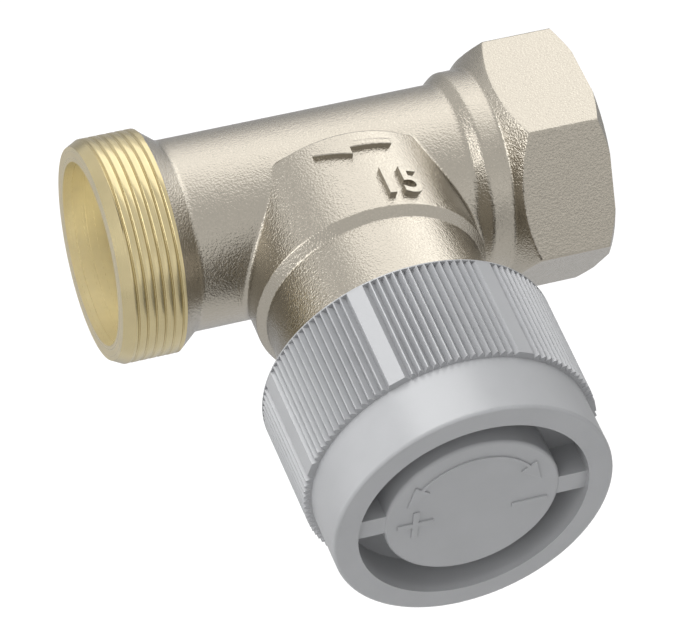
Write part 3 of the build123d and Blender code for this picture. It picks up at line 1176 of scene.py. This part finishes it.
@dataclass
class Studio:
    """A pale floor, soft lamps and a white surround."""

    floor_z: float = -0.28
    floor_size: float = 8.0
    floor_colour: Colour = (0.8, 0.8, 0.8)
    floor_roughness: float = 0.9
    floor_lift: float = 0.25
    card_lift: float = 0.01
    ambient: float = 0.6

    def build(self) -> None:
        """Build the floor, the world and the lamps."""
        self.lay_floor()
        self.paint_world()
        metal = ("body_casting", "outlet_thread", "inlet_thread", "flow_arrow", "size_mark")
        cap = ("protective_cap", "plus_sign", "minus_sign", "turning_arrow")
        over_floor = (-0.030, -0.017, self.floor_z + self.card_lift)
        for item in (
            SoftLamp("back_softbox", LampRole.HIGHLIGHT, (0.33, 0.61, 0.72), (1.6, 1.1), 6.3, metal),
            SoftLamp("right_softbox", LampRole.HIGHLIGHT, (0.72, 0.62, 0.35), (0.7, 0.7), 1.25, metal),
            SoftLamp("edge_softbox", LampRole.HIGHLIGHT, (-0.89, -0.03, 0.40), (0.8, 0.32), 2.6, metal),
            SoftLamp("top_softbox", LampRole.FILL, (-0.32, 0.10, 0.92), (0.5, 0.5), 5.5),
            SoftLamp("left_softbox", LampRole.FILL, (-0.70, -0.45, 0.65), (0.8, 0.8), 3.0),
            SoftLamp("side_softbox", LampRole.FILL, (-0.90, 0.40, 0.15), (0.5, 0.5), 1.8),
            SoftLamp("cap_softbox", LampRole.HIGHLIGHT, (-0.13, 0.62, 0.74), (0.85, 0.4), 5.5, cap),
            ToneCard("left_glow", (-0.78, 0.58, 0.10), 0.8, 1.15, 1.15),
            ToneCard("front_glow", (0.28, -0.95, 0.375), 0.42, 1.3, 1.3),
            ToneCard("front_card", (0.25, -0.95, -0.24), 0.9, 0.72, 0.72),
            ToneCard("floor_card", over_floor, 4.0, 0.9, 0.52),
        ):
            item.build()

    def lay_floor(self) -> None:
        """Lay the pale floor, which shows white and keeps the object's shadow."""
        bpy.ops.object.select_all(action="DESELECT")
        bpy.ops.mesh.primitive_plane_add(size=self.floor_size, location=(0, 0, self.floor_z))
        floor = bpy.context.object
        floor.name = "floor"
        sheet = NodeSheet("pale_floor")
        sheet.shader.inputs["Base Color"].default_value = (*self.floor_colour, 1)
        sheet.shader.inputs["Roughness"].default_value = self.floor_roughness
        sheet.shader.inputs["Specular IOR Level"].default_value = 0.0
        sheet.shader.inputs["Emission Color"].default_value = WHITE
        seen = seen_rays(sheet.tree)
        lift = sheet.tree.nodes.new("ShaderNodeMath")
        lift.operation = "MULTIPLY"
        lift.inputs[1].default_value = self.floor_lift
        sheet.join(seen, lift.inputs[0])
        sheet.join(lift.outputs["Value"], sheet.shader.inputs["Emission Strength"])
        floor.data.materials.append(sheet.material)

    def paint_world(self) -> None:
        """Paint the surround: white where it is seen or mirrored, and a plain grey light elsewhere."""
        world = bpy.data.worlds.new("surround")
        world.use_nodes = True
        bpy.context.scene.world = world
        tree = world.node_tree
        spread = tree.nodes.new("ShaderNodeMapRange")
        spread.inputs["To Min"].default_value = self.ambient
        tree.links.new(seen_rays(tree), spread.inputs["Value"])
        background = tree.nodes["Background"]
        background.inputs["Color"].default_value = WHITE
        tree.links.new(spread.outputs["Result"], background.inputs["Strength"])


def seen_rays(tree: bpy.types.NodeTree) -> bpy.types.NodeSocket:
    """A value that is 1 where a surface is seen, mirrored or seen through glass.

    Args:
        tree: the node tree to work in.

    Returns:
        The value.
    """
    path = tree.nodes.new("ShaderNodeLightPath")
    value = path.outputs["Is Camera Ray"]
    for name in ("Is Glossy Ray", "Is Transmission Ray"):
        larger = tree.nodes.new("ShaderNodeMath")
        larger.operation = "MAXIMUM"
        tree.links.new(value, larger.inputs[0])
        tree.links.new(path.outputs[name], larger.inputs[1])
        value = larger.outputs["Value"]
    return value


@dataclass(frozen=True)
class PhotoCamera:
    """The camera at the photograph's viewing angle, for an image of 676 by 634."""

    eye: Place = (-0.17440, -0.34634, 0.39209)
    azimuth: float = -22.917
    elevation: float = 47.654
    roll: float = 5.016
    lens: float = 247.6
    sensor: float = 36.0
    clip_start: float = 0.01

    def build(self) -> None:
        """Create the camera and make it the scene's own."""
        turn, rise, tilt = radians(self.azimuth), radians(self.elevation), radians(self.roll)
        back = Vector((sin(turn) * cos(rise), -cos(turn) * cos(rise), sin(rise)))
        level = Vector((cos(turn), sin(turn), 0))
        upright = back.cross(level)
        right = level * cos(tilt) + upright * sin(tilt)
        up = upright * cos(tilt) - level * sin(tilt)
        data = bpy.data.cameras.new("photo_camera")
        data.lens = self.lens
        data.sensor_fit = "HORIZONTAL"
        data.sensor_width = self.sensor
        data.clip_start = self.clip_start
        camera = bpy.data.objects.new("photo_camera", data)
        bpy.context.scene.collection.objects.link(camera)
        turned = Matrix((right, up, back)).transposed().to_4x4()
        camera.matrix_world = Matrix.Translation(self.eye) @ turned
        bpy.context.scene.camera = camera


def main() -> None:
    """Build the looks in order and report each new piece."""
    logging.basicConfig(level=logging.INFO, format="%(name)s: %(message)s")
    bpy.context.scene.view_settings.view_transform = "Standard"
    layout = Layout.from_frame(frame)
    for assembly in (BodyCasting(layout), CapMoulding(layout), ValveInsert(layout)):
        for piece in assembly.build():
            LOG.info("%s: %d faces", piece.name, len(piece.data.polygons))
    Studio().build()
    PhotoCamera().build()


if __name__ == "__main__":
    main()
